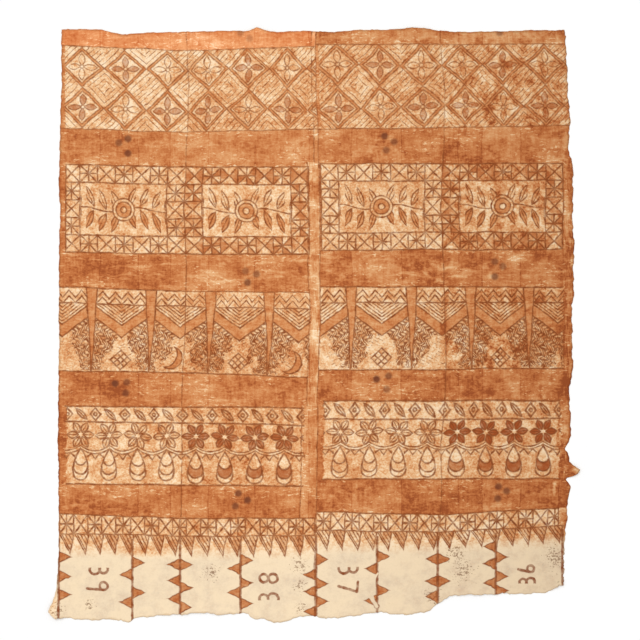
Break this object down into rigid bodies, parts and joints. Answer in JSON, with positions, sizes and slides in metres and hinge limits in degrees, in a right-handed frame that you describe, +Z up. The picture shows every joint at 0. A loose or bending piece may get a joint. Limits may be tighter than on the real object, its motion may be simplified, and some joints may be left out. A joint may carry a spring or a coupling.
{
  "type": "painted bark cloth",
  "caption": "Flat painted bark cloth sheet with torn uneven edges, soft lengthwise creases, and rust and cream bands of printed panels above a pale toothed border.",
  "frame": {"origin": "middle of the cloth's bounding box, on the surface that the cloth lies on", "axes": "+X across the cloth to the viewer's right, +Y along the cloth towards its top edge, +Z up out of the painted face"},
  "size_m": [2.1186, 2.3768, 0.0105],
  "materials": {
    "bark_cloth": "matt beaten bark with rust, brown and cream vegetable dye"
  },
  "bodies": {
    "root": {"bark_cloth": "bark_cloth"}
  },
  "joints": []
}
